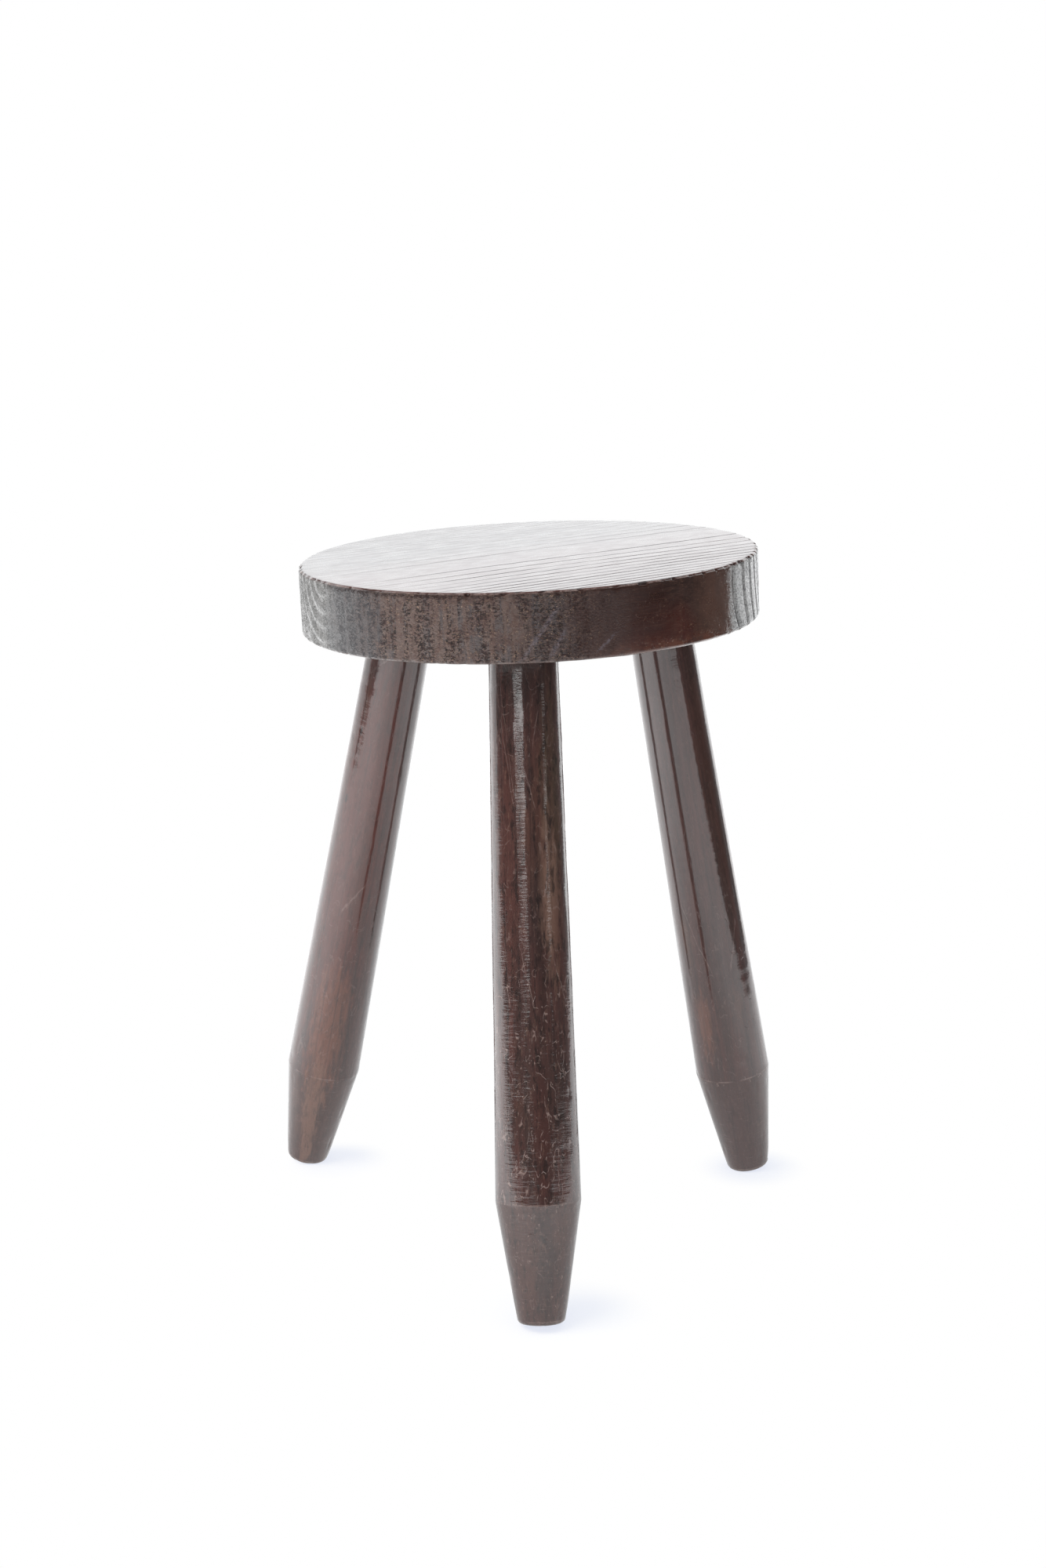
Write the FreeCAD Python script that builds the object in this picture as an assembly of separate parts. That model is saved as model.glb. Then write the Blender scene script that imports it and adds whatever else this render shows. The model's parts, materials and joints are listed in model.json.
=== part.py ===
"""Three-legged staked stool: a round plank seat on three turned, splayed legs.

Each leg ends in a round tenon, shouldered to the flat underside of the seat and driven into a blind
socket that was bored at the leg's own splay. The tenon is sawn down the middle and holds a hidden
wedge, which the bottom of the socket drives home, so the split tenon spreads in the undercut socket.

Lengths are in millimetres and angles in degrees. The pieces are made in the seat's own frame: the
underside of the seat is the plane z = 0, its centre is the origin and the seat is above it. At the end
the stool is stood on its three feet, with the floor at z = 0 and the origin below the middle of its box.
"""
import FreeCAD, Part
import math
import os

from FreeCAD import Matrix, Placement, Vector

# Seat board
seat_diameter = 300.0
seat_thickness = 44.0
seat_top_easing = 0.8
seat_bottom_easing = 1.5
grain_azimuth = 24.0

# Length of the legs, the same for all three: measured along the leg from the underside of the seat.
leg_length = 420.0
knee_above_foot = 76.0
knee_rounding = 6.0
foot_rounding = 3.0
foot_wear = 0.6

# Sockets: distance of the leg axes from the seat's centre at the underside
socket_circle_radius = 94.5

# Tenon, its saw kerf and its hidden wedge
tenon_diameter = 28.0
tenon_length = 30.0
tenon_end_chamfer = 1.0
kerf_width = 1.6
kerf_depth = 22.0
tenon_spread_width = 0.8
wedge_width = 24.0
wedge_tip_gap = 3.0

# Clearances
glue_line = 0.1
socket_bottom_gap = 1.0

# Front leg. The azimuth is where its socket lies round the seat, counted from +X towards +Y. The splay
# is the lean of the leg from a square to the seat, and the skew turns that lean off the radius.
front_azimuth = -93.2
front_splay = 14.0
front_skew = -0.8
front_shoulder_diameter = 44.2
front_knee_diameter = 54.0
front_foot_diameter = 30.2

# Rear leg on the left
left_azimuth = 153.5
left_splay = 15.1
left_skew = -2.4
left_shoulder_diameter = 42.8
left_knee_diameter = 51.6
left_foot_diameter = 29.6

# Rear leg on the right
right_azimuth = 26.4
right_splay = 8.2
right_skew = -1.2
right_shoulder_diameter = 43.0
right_knee_diameter = 52.2
right_foot_diameter = 30.0

# Values that follow from the ones above
seat_radius = seat_diameter / 2
tenon_radius = tenon_diameter / 2
socket_radius = tenon_radius + glue_line
socket_depth = tenon_length + socket_bottom_gap
kerf_root = tenon_length - kerf_depth
spread_slope = tenon_spread_width / kerf_depth
workpiece_reach = 2 * (leg_length + seat_diameter)


def turned(outline):
    """Turn a solid about the Z axis from a closed outline of (radius, height, corner rounding)."""
    points = [Vector(radius, 0, height) for radius, height, rounding in outline]
    edges = []
    starts = []
    ends = []
    for index, point in enumerate(points):
        rounding = outline[index][2]
        if rounding == 0:
            starts.append(point)
            ends.append(point)
            continue
        before = (points[index - 1] - point).normalize()
        after = (points[(index + 1) % len(points)] - point).normalize()
        half_angle = before.getAngle(after) / 2
        setback = rounding / math.tan(half_angle)
        middle = (before + after).normalize() * (rounding / math.sin(half_angle) - rounding)
        starts.append(point + before * setback)
        ends.append(point + after * setback)
        edges.append(Part.Arc(starts[-1], point + middle, ends[-1]).toShape())
    for index, start in enumerate(ends):
        finish = starts[(index + 1) % len(points)]
        edges.append(Part.LineSegment(start, finish).toShape())
    wire = Part.Wire(Part.__sortEdges__(edges))
    return Part.Face(wire).revolve(Vector(0, 0, 0), Vector(0, 0, 1), 360)


def half_round(radius, chord_offset, side):
    """Face of a disc's part that lies past a chord, on the side +1 or -1 of the kerf."""
    half_chord = math.sqrt(radius ** 2 - chord_offset ** 2)
    upper = Vector(side * chord_offset, half_chord, 0)
    lower = Vector(side * chord_offset, -half_chord, 0)
    arc = Part.Arc(upper, Vector(side * radius, 0, 0), lower).toShape()
    chord = Part.LineSegment(lower, upper).toShape()
    return Part.Face(Part.Wire([arc, chord]))


def leaning(face, side, bottom, top):
    """Extrude a half round from the kerf's root, leaning outwards as the wedge spreads it."""
    rise = top - bottom
    face.translate(Vector(0, 0, bottom))
    return face.extrude(Vector(side * spread_slope * rise, 0, rise))


def tapered_slab(half_at_bottom, half_at_top, width, bottom, top):
    """Slab between two leaning planes, as thick as the kerf allows at each height."""
    corners = [
        Vector(-half_at_bottom, -width / 2, bottom),
        Vector(half_at_bottom, -width / 2, bottom),
        Vector(half_at_top, -width / 2, top),
        Vector(-half_at_top, -width / 2, top),
    ]
    corners = [corner for index, corner in enumerate(corners) if corner != corners[index - 1]]
    outline = Part.makePolygon(corners + corners[:1])
    return Part.Face(outline).extrude(Vector(0, width, 0))


def kerf_half_width(height):
    """Half the width of the opened kerf at a height along the tenon."""
    return kerf_width / 2 + spread_slope * (height - kerf_root)


def tenon(root):
    """Round tenon, whole up to the kerf's root and in two leaning halves above it."""
    whole = Part.makeCylinder(tenon_radius, kerf_root - root, Vector(0, 0, root))
    halves = []
    for side in (1, -1):
        face = half_round(tenon_radius, kerf_width / 2, side)
        halves.append(leaning(face, side, kerf_root, tenon_length))
    spread = whole.multiFuse(halves).removeSplitter()
    ends = [
        edge
        for edge in spread.Edges
        if abs(edge.BoundBox.ZMin - tenon_length) < glue_line
        and abs(edge.BoundBox.ZMax - tenon_length) < glue_line
        and edge.Curve.TypeId == "Part::GeomCircle"
    ]
    return spread.makeChamfer(tenon_end_chamfer, ends)


def socket(root):
    """The hole bored for a tenon, undercut along the grain by as much as the wedge spreads it."""
    bore = Part.makeCylinder(socket_radius, kerf_root - root, Vector(0, 0, root))
    undercuts = []
    for side in (1, -1):
        face = half_round(socket_radius, 0, side)
        undercuts.append(leaning(face, side, kerf_root, socket_depth))
    half_at_bottom = spread_slope * (socket_depth - kerf_root)
    undercuts.append(tapered_slab(0, half_at_bottom, 2 * socket_radius, kerf_root, socket_depth))
    return bore.multiFuse(undercuts).removeSplitter()


def wedge():
    """Wedge that fills the opened kerf and bears on the bottom of the socket."""
    tip = kerf_root + wedge_tip_gap
    return tapered_slab(kerf_half_width(tip), kerf_half_width(socket_depth), wedge_width, tip, socket_depth)


class Leg:
    """One leg: its turned sizes and where it stands in the seat's frame."""

    def __init__(self, azimuth, splay, skew, shoulder_diameter, knee_diameter, foot_diameter):
        self.shoulder_radius = shoulder_diameter / 2
        self.knee_radius = knee_diameter / 2
        self.foot_radius = foot_diameter / 2
        place = math.radians(azimuth)
        lean = math.radians(splay)
        heading = math.radians(azimuth + skew)
        self.top = Vector(math.cos(place), math.sin(place), 0) * socket_circle_radius
        outwards = Vector(math.cos(heading), math.sin(heading), 0)
        self.axis = (Vector(0, 0, 1) * math.cos(lean) - outwards * math.sin(lean)).normalize()
        self.rise = self.shoulder_radius * math.tan(lean) + foot_rounding

    def placement(self):
        """Local frame at the seat's underside: Z up the leg, X as near the seat's grain as it can be."""
        azimuth = math.radians(grain_azimuth)
        grain = Vector(math.cos(azimuth), math.sin(azimuth), 0)
        across = (grain - self.axis * grain.dot(self.axis)).normalize()
        along = self.axis.cross(across)
        frame = Matrix(
            across.x, along.x, self.axis.x, self.top.x,
            across.y, along.y, self.axis.y, self.top.y,
            across.z, along.z, self.axis.z, self.top.z,
            0, 0, 0, 1,
        )
        return Placement(frame)

    def placed(self, shape):
        """A shape made in the leg's local frame, carried into the seat's frame."""
        shape.Placement = self.placement().multiply(shape.Placement)
        return shape

    def solid(self):
        """Turned leg, coped flush to the underside of the seat, with its split tenon."""
        knee_height = knee_above_foot - leg_length
        taper = (self.knee_radius - self.shoulder_radius) / -knee_height
        outline = [
            (0, self.rise, 0),
            (self.shoulder_radius - taper * self.rise, self.rise, 0),
            (self.knee_radius, knee_height, knee_rounding),
            (self.foot_radius, -leg_length, foot_rounding),
            (0, -leg_length, 0),
        ]
        below_seat = Part.makeBox(
            workpiece_reach,
            workpiece_reach,
            workpiece_reach,
            Vector(-workpiece_reach / 2, -workpiece_reach / 2, -workpiece_reach),
        )
        coped = self.placed(turned(outline)).common(below_seat)
        return coped.fuse(self.placed(tenon(-self.rise))).removeSplitter()

    def lowest_point(self, down):
        """Point of the square-cut, rounded foot that is furthest along the direction given."""
        ring_centre = self.top - self.axis * (leg_length - foot_rounding)
        radial = (down - self.axis * down.dot(self.axis)).normalize()
        return ring_centre + radial * (self.foot_radius - foot_rounding) + down * foot_rounding


def seat(legs):
    """Round board with eased edges and one blind socket for each leg."""
    board = turned([
        (0, 0, 0),
        (seat_radius - seat_bottom_easing, 0, 0),
        (seat_radius, seat_bottom_easing, 0),
        (seat_radius, seat_thickness - seat_top_easing, 0),
        (seat_radius - seat_top_easing, seat_thickness, 0),
        (0, seat_thickness, 0),
    ])
    return board.cut([leg.placed(socket(-leg.rise)) for leg in legs])


def standing_placement(legs):
    """Place of the seat's frame when the stool stands on its three feet, with z = 0 at the floor."""
    down = Vector(0, 0, -1)
    for step in range(20):
        first, second, third = [leg.lowest_point(down) for leg in legs]
        down = (second - first).cross(third - first).normalize()
        if down.z > 0:
            down = -down
    up = -down
    right = (Vector(1, 0, 0) - up * up.x).normalize()
    back = up.cross(right)
    floor = first.dot(up) + foot_wear
    frame = Matrix(
        right.x, right.y, right.z, 0,
        back.x, back.y, back.z, 0,
        up.x, up.y, up.z, -floor,
        0, 0, 0, 1,
    )
    return Placement(frame)


front = Leg(
    front_azimuth,
    front_splay,
    front_skew,
    front_shoulder_diameter,
    front_knee_diameter,
    front_foot_diameter,
)
left = Leg(
    left_azimuth,
    left_splay,
    left_skew,
    left_shoulder_diameter,
    left_knee_diameter,
    left_foot_diameter,
)
right = Leg(
    right_azimuth,
    right_splay,
    right_skew,
    right_shoulder_diameter,
    right_knee_diameter,
    right_foot_diameter,
)
legs = {"front": front, "left": left, "right": right}

nodes = {"seat_board": seat(legs.values())}
for name, leg in legs.items():
    nodes["leg_" + name] = leg.solid()
    nodes["wedge_" + name] = leg.placed(wedge())

# Stand the stool on the floor and wear a small flat on the edge of each foot that touches it.
standing = standing_placement(legs.values())
below_floor = Part.makeBox(
    workpiece_reach,
    workpiece_reach,
    workpiece_reach,
    Vector(-workpiece_reach / 2, -workpiece_reach / 2, -workpiece_reach),
)
for name, shape in nodes.items():
    shape.Placement = standing.multiply(shape.Placement)
    if name.startswith("leg_"):
        nodes[name] = shape.cut(below_floor)

# Move the origin to the middle of the stool's box on the floor.
whole_box = Part.makeCompound(list(nodes.values())).optimalBoundingBox(False, False)
to_origin = Vector(-whole_box.Center.x, -whole_box.Center.y, 0)

os.makedirs("parts", exist_ok=True)
for name, shape in nodes.items():
    shape.translate(to_origin)
    shape.exportStep("parts/" + name + ".step")
    print(name, "valid", shape.isValid(), "solids", len(shape.Solids), "volume", round(shape.Volume))

seat_centre = standing.multVec(Vector(0, 0, seat_thickness)) + to_origin
seat_normal = standing.Rotation.multVec(Vector(0, 0, 1))
print("seat top centre", [round(value, 3) for value in seat_centre])
print("seat normal", [round(value, 5) for value in seat_normal])
print("box", [round(value, 2) for value in (whole_box.XLength, whole_box.YLength, whole_box.ZMax)])
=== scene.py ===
"""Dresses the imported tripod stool: a worn, varnished plank seat on three turned legs, on a white studio floor.

The pieces are measured in millimetres in two kinds of local frame. The seat's frame has its origin at the
middle of the underside, X along the grain and Z up. A leg's frame has its origin on the leg's line at the
underside of the seat, X towards the front, Y towards the right and Z up the leg.
"""
import json
import math

import bpy
import numpy as np
from mathutils import Matrix, Vector


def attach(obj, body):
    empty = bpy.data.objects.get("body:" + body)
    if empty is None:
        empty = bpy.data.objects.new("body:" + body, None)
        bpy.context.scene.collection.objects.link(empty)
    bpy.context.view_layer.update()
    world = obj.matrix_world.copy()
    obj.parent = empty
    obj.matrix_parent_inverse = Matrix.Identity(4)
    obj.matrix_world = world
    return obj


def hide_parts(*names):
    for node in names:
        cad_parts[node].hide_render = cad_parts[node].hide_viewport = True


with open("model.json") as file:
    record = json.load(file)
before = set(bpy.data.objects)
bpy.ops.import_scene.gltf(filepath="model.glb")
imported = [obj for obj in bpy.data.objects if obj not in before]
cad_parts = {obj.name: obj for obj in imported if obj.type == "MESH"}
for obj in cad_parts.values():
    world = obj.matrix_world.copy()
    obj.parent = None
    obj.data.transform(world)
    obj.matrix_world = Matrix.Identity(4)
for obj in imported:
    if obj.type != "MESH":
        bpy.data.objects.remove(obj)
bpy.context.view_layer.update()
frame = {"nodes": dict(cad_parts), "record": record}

bl_info = {
    "name": "Tripod Stool Finish",
    "version": (1, 0, 0),
    "blender": (4, 5, 0),
    "location": "3D View > Sidebar > Stool",
    "description": "Makes the worn seat and the turned legs of a staked stool, with its studio",
    "category": "Object",
}

MM = 0.001
# The discs of the seat's faces stop this far short of the rim. Their cells: from the middle out, and round.
RIM = 4
TOP_ROWS, BOTTOM_ROWS, COLUMNS = 30, 8, 800
# Blind sockets: radius, and the heights in the seat of their cutter's three sections. Above the second one
# they widen along the grain, by the spread over its length.
SOCKET_RADIUS = 14.1
SOCKET_HEIGHTS = (-9, 8, 31)
SOCKET_SPREAD, SPREAD_LENGTH = 0.8, 22
# Arcs that the saw has left: how flat they are, the height of their middle, and from one to the next.
ARC_FLATNESS, ARC_HEIGHT, ARC_STEP = 2.6, 45.0, 9.5
# The first of each leg's noises, in its mesh and in its material.
LEG_SEEDS = {"front": 20, "left": 40, "right": 60}
WOOD_SEEDS = {"front": 0.0, "left": 5.0, "right": 11.0}
# The camera that was matched to the photograph: its place, and its lean and roll in degrees.
CAMERA_AT = (0.00142, -1.66936, 0.69884)
CAMERA_LEAN, CAMERA_ROLL = 13.18, -0.84


def linear(red, green, blue):
    """Scene colour from the 0 to 255 values that a screen shows."""
    return tuple(
        value / 3294.6 if value < 10.3 else ((value / 255 + 0.055) / 1.055) ** 2.4
        for value in (red, green, blue)
    )


def length(name, description, default):
    return bpy.props.FloatProperty(
        name=name, description=description, default=default * MM, min=0, precision=4, unit="LENGTH"
    )


def angle(name, description, degrees):
    return bpy.props.FloatProperty(
        name=name, description=description, default=math.radians(degrees), subtype="ANGLE"
    )


def colour(name, description, *values):
    return bpy.props.FloatVectorProperty(
        name=name, description=description, default=linear(*values), min=0, max=1, size=3, subtype="COLOR"
    )


def share(name, description, default):
    return bpy.props.FloatProperty(
        name=name, description=description, default=default, min=0, max=1, subtype="FACTOR"
    )


def leg_properties(azimuth, splay, skew, shoulder, knee, foot, ring_turn, ring_start):
    """What differs from leg to leg, in degrees and millimetres."""
    return {
        "azimuth": angle("Azimuth", "Where the leg enters the seat", azimuth),
        "splay": angle("Splay", "Lean of the leg from a square to the seat", splay),
        "skew": angle("Skew", "Turn of the lean off the radius", skew),
        "shoulder": length("Shoulder", "Diameter at the seat", shoulder),
        "knee": length("Knee", "Diameter at the knee", knee),
        "foot": length("Foot", "Diameter at the end of the foot", foot),
        "ring_turn": angle("Ring turn", "Way across the growth rings, from the front to the right", ring_turn),
        "ring_start": length("Ring start", "Place of the first ring line", ring_start),
    }


class StoolSeat(bpy.types.PropertyGroup):
    diameter: length("Diameter", "Across the round board", 300)
    thickness: length("Thickness", "Of the board", 44)
    top_easing: length("Top easing", "How far the upper arris is taken off", 0.8)
    bottom_easing: length("Bottom easing", "How far the lower arris is taken off", 1.5)
    grain: angle("Grain", "Way that the tenons are spread, counted from X towards Y", 24)
    rings: angle("Rings", "Way that the growth rings run, counted from X towards Y", 29.7)
    socket_circle: length("Socket circle", "Radius at which the legs enter the underside", 94.5)
    chipping: share("Chipping", "How badly the upper arris is chipped", 0.85)
    wood: colour("Wood", "Brown of the varnished board", 74, 50, 44)
    heart: colour("Heart", "Red brown of the smooth side grain", 54, 30, 25)
    end_grain: colour("End grain", "Grey brown of the rough end grain", 112, 88, 79)
    worn: colour("Worn", "Pale wood along the worn arrises", 196, 172, 164)


class StoolFrontLeg(bpy.types.PropertyGroup):
    __annotations__ = leg_properties(-93.2, 14.0, -0.8, 44.2, 54.0, 30.2, 65, 3)


class StoolLeftLeg(bpy.types.PropertyGroup):
    __annotations__ = leg_properties(153.5, 15.1, -2.4, 42.8, 51.6, 29.6, 80, 6)


class StoolRightLeg(bpy.types.PropertyGroup):
    __annotations__ = leg_properties(26.4, 8.2, -1.2, 43.0, 52.2, 30.0, 95, 2)


class StoolLegs(bpy.types.PropertyGroup):
    length: length("Length", "From the underside of the seat to the end of the foot", 420)
    knee_height: length("Knee height", "From the end of the foot to the knee", 76)
    knee_rounding: length("Knee rounding", "Radius of the knee's arris", 6)
    foot_rounding: length("Foot rounding", "Radius of the foot's arris", 3)
    ring_width: length("Ring width", "Wood grown in one year", 9)
    wood: colour("Wood", "Brown of the varnished legs", 76, 50, 46)
    red: colour("Red", "Redder parts of the legs", 98, 60, 54)
    foot_wood: colour("Foot wood", "Duller brown of the feet", 84, 55, 49)
    line: colour("Line", "Dark lines of the growth rings", 44, 27, 26)
    bare: colour("Bare", "Unstained wood of the tenons and wedges", 196, 164, 124)


class StoolStudio(bpy.types.PropertyGroup):
    floor_size: length("Floor size", "Across the floor", 12000)
    daylight: share("Daylight", "Even light from all round", 0.5)
    floor_glow: share("Floor glow", "Part of the floor's white that takes no shadow", 0.67)
    lens: bpy.props.FloatProperty(name="Lens", description="Focal length of the camera in mm", default=60.0)


# Placing --------


def seat_frame(seat):
    """Matrix from the seat's own frame, in metres, to the stool's frame."""
    mount = next(mount for mount in frame["record"]["mounts"] if mount["name"] == "seat_top")
    up = Vector(mount["axis"]).normalized()
    right = Vector((up.z, 0, -up.x)).normalized()
    turned = Matrix((right, up.cross(right), up)).transposed().to_4x4()
    return Matrix.Translation(Vector(mount["pos_m"]) - up * seat.thickness) @ turned


def grained(seat):
    """The seat's frame with X along the growth rings."""
    return seat_frame(seat) @ Matrix.Rotation(seat.rings, 4, "Z")


def leg_frames(leg, seat):
    """Matrices of one leg: with X towards the front, and with X along the seat's grain."""
    seat_at = seat_frame(seat)
    heading = leg.azimuth + leg.skew
    top = Vector((math.cos(leg.azimuth), math.sin(leg.azimuth), 0)) * seat.socket_circle
    out = Vector((math.cos(heading), math.sin(heading), 0))
    axis = Vector((0, 0, 1)) * math.cos(leg.splay) - out * math.sin(leg.splay)
    axis = (seat_at.to_3x3() @ axis).normalized()
    grain = seat_at.to_3x3() @ Vector((math.cos(seat.grain), math.sin(seat.grain), 0))
    made = []
    for wanted in (Vector((0, -1, 0)), grain):
        across = (wanted - axis * wanted.dot(axis)).normalized()
        turned = Matrix((across, axis.cross(across), axis)).transposed().to_4x4()
        made.append(Matrix.Translation(seat_at @ top) @ turned)
    return made


def read_points(mesh):
    points = np.empty(len(mesh.vertices) * 3)
    mesh.vertices.foreach_get("co", points)
    return points.reshape(-1, 3)


def write_points(mesh, points):
    mesh.vertices.foreach_set("co", np.ascontiguousarray(points).ravel())
    mesh.update()


def local(points, matrix):
    """Points of the stool's frame in the millimetres of a local frame."""
    turned = np.array(matrix.to_3x3())
    return (points - np.array(matrix.translation)) @ turned / MM


def placed(points, matrix):
    """Points in the millimetres of a local frame, carried to the stool's frame."""
    turned = np.array(matrix.to_3x3())
    return points * MM @ turned.T + np.array(matrix.translation)


def bumps(points, cell, seed=0):
    """Smooth noise from -1 to 1 at an array of points, with features about as large as cell."""
    scaled = points / np.asarray(cell, dtype=float) + 1000.0 + 17.31 * seed
    low = np.floor(scaled).astype(np.int64)
    part = scaled - low
    part = part * part * (3 - 2 * part)
    total = np.zeros(len(points))
    for corner in range(8):
        bits = np.array([corner & 1, corner >> 1 & 1, corner >> 2 & 1])
        at = low + bits
        mixed = at[:, 0] * 73856093 ^ at[:, 1] * 19349663 ^ at[:, 2] * 83492791
        mixed = (mixed ^ mixed >> 13) * 1274126177 & 0xFFFFFFFF
        mixed = (mixed ^ mixed >> 15) & 0xFFFF
        total += (mixed / 32767.5 - 1) * np.where(bits, part, 1 - part).prod(axis=1)
    return total


def step(low, high, values):
    """Smooth rise from 0 at low to 1 at high."""
    part = np.clip((values - low) / (high - low), 0, 1)
    return part * part * (3 - 2 * part)


def growth_rings(x, y, z, sine, root, fraction):
    """Growth rings of the board about the heart of the tree, which lies within it. For arrays or for nodes.

    Gives the years since the heart, the part of the year, and the millimetres to the line between years.
    """
    bend = sine(x * 0.026 + y * 0.034 + z * 0.06 + 1.0)
    reach = root((y + 8.0) ** 2.0 + (z - 41.0) ** 2.0) + bend * 1.2
    ring = reach * (reach * 0.00039 + 0.0403)
    phase = fraction(ring + 0.5)
    return ring, phase, abs(phase - 0.5) / (reach * 0.00078 + 0.0403)


# Modelling with Blender's own operators --------


def nothing_selected():
    if bpy.context.object and bpy.context.object.mode != "OBJECT":
        bpy.ops.object.mode_set(mode="OBJECT")
    bpy.ops.object.select_all(action="DESELECT")


def only(*things):
    """Select these objects alone, the first of them active."""
    nothing_selected()
    for thing in things:
        thing.select_set(True)
    bpy.context.view_layer.objects.active = things[0]


def editing(thing, select="DESELECT"):
    only(thing)
    bpy.ops.object.mode_set(mode="EDIT")
    bpy.ops.mesh.select_mode(type="VERT")
    bpy.ops.mesh.select_all(action=select)


def done_editing():
    bpy.ops.object.mode_set(mode="OBJECT")


def at_rest(thing):
    """Put the object's place into its mesh."""
    only(thing)
    bpy.ops.object.transform_apply(location=True, rotation=True, scale=True)


def clean(thing):
    """Merge doubles and turn the faces outwards."""
    editing(thing, "SELECT")
    bpy.ops.mesh.remove_doubles(threshold=0.000005)
    bpy.ops.mesh.normals_make_consistent(inside=False)
    done_editing()


def joined(*things):
    only(*things)
    bpy.ops.object.join()
    return bpy.context.object


def extruded(move):
    bpy.ops.mesh.extrude_region_move(TRANSFORM_OT_translate={"value": move})


def cut_off(place, normal, **side):
    """Cut the selected mesh by a plane, close the cut and clear one side of it."""
    bpy.ops.mesh.bisect(plane_co=place, plane_no=normal, use_fill=True, threshold=1e-7, **side)


def finished(thing, name, material, slot, *nodes):
    """Name a piece, give it its finish and let it stand for its CAD nodes."""
    thing.name = name
    thing.data.name = name
    only(thing)
    bpy.ops.object.shade_smooth_by_angle(angle=math.radians(40))
    thing.data.materials.clear()
    thing.data.materials.append(material)
    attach(thing, "root")
    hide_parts(*nodes)
    nothing_selected()


def disc(radius, height, rows, matrix):
    """A round sheet of fine rows along the grain, made from a grid, in the seat's frame."""
    nothing_selected()
    bpy.ops.mesh.primitive_grid_add(x_subdivisions=rows, y_subdivisions=COLUMNS, size=2)
    sheet = bpy.context.object
    flat = read_points(sheet.data)
    turn = flat[:, 1] * math.pi / 2
    points = np.column_stack((
        radius * np.sin(flat[:, 0] * math.pi / 2) * np.cos(turn),
        radius * np.sin(turn),
        np.full(len(flat), height),
    ))
    write_points(sheet.data, placed(points, matrix))
    clean(sheet)
    return sheet


def sockets(seat, legs):
    """Cutters for the blind sockets, undercut along the grain as the spread tenons are."""
    start, flare, end = SOCKET_HEIGHTS
    made = []
    for leg in legs:
        nothing_selected()
        bpy.ops.mesh.primitive_circle_add(
            vertices=48, radius=SOCKET_RADIUS * MM, fill_type="NGON", location=(0, 0, start * MM)
        )
        cutter = bpy.context.object
        bpy.ops.object.mode_set(mode="EDIT")
        bpy.ops.mesh.select_all(action="SELECT")
        for rise in (flare - start, end - flare):
            extruded((0, 0, rise * MM))
        done_editing()
        at_rest(cutter)
        points = read_points(cutter.data) / MM
        spread = np.clip(points[:, 2] - flare, 0, None) * SOCKET_SPREAD / SPREAD_LENGTH
        points[:, 0] += np.sign(np.round(points[:, 0], 6)) * spread
        write_points(cutter.data, placed(points, leg_frames(leg, seat)[1]))
        clean(cutter)
        made.append(cutter)
    return made


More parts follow.
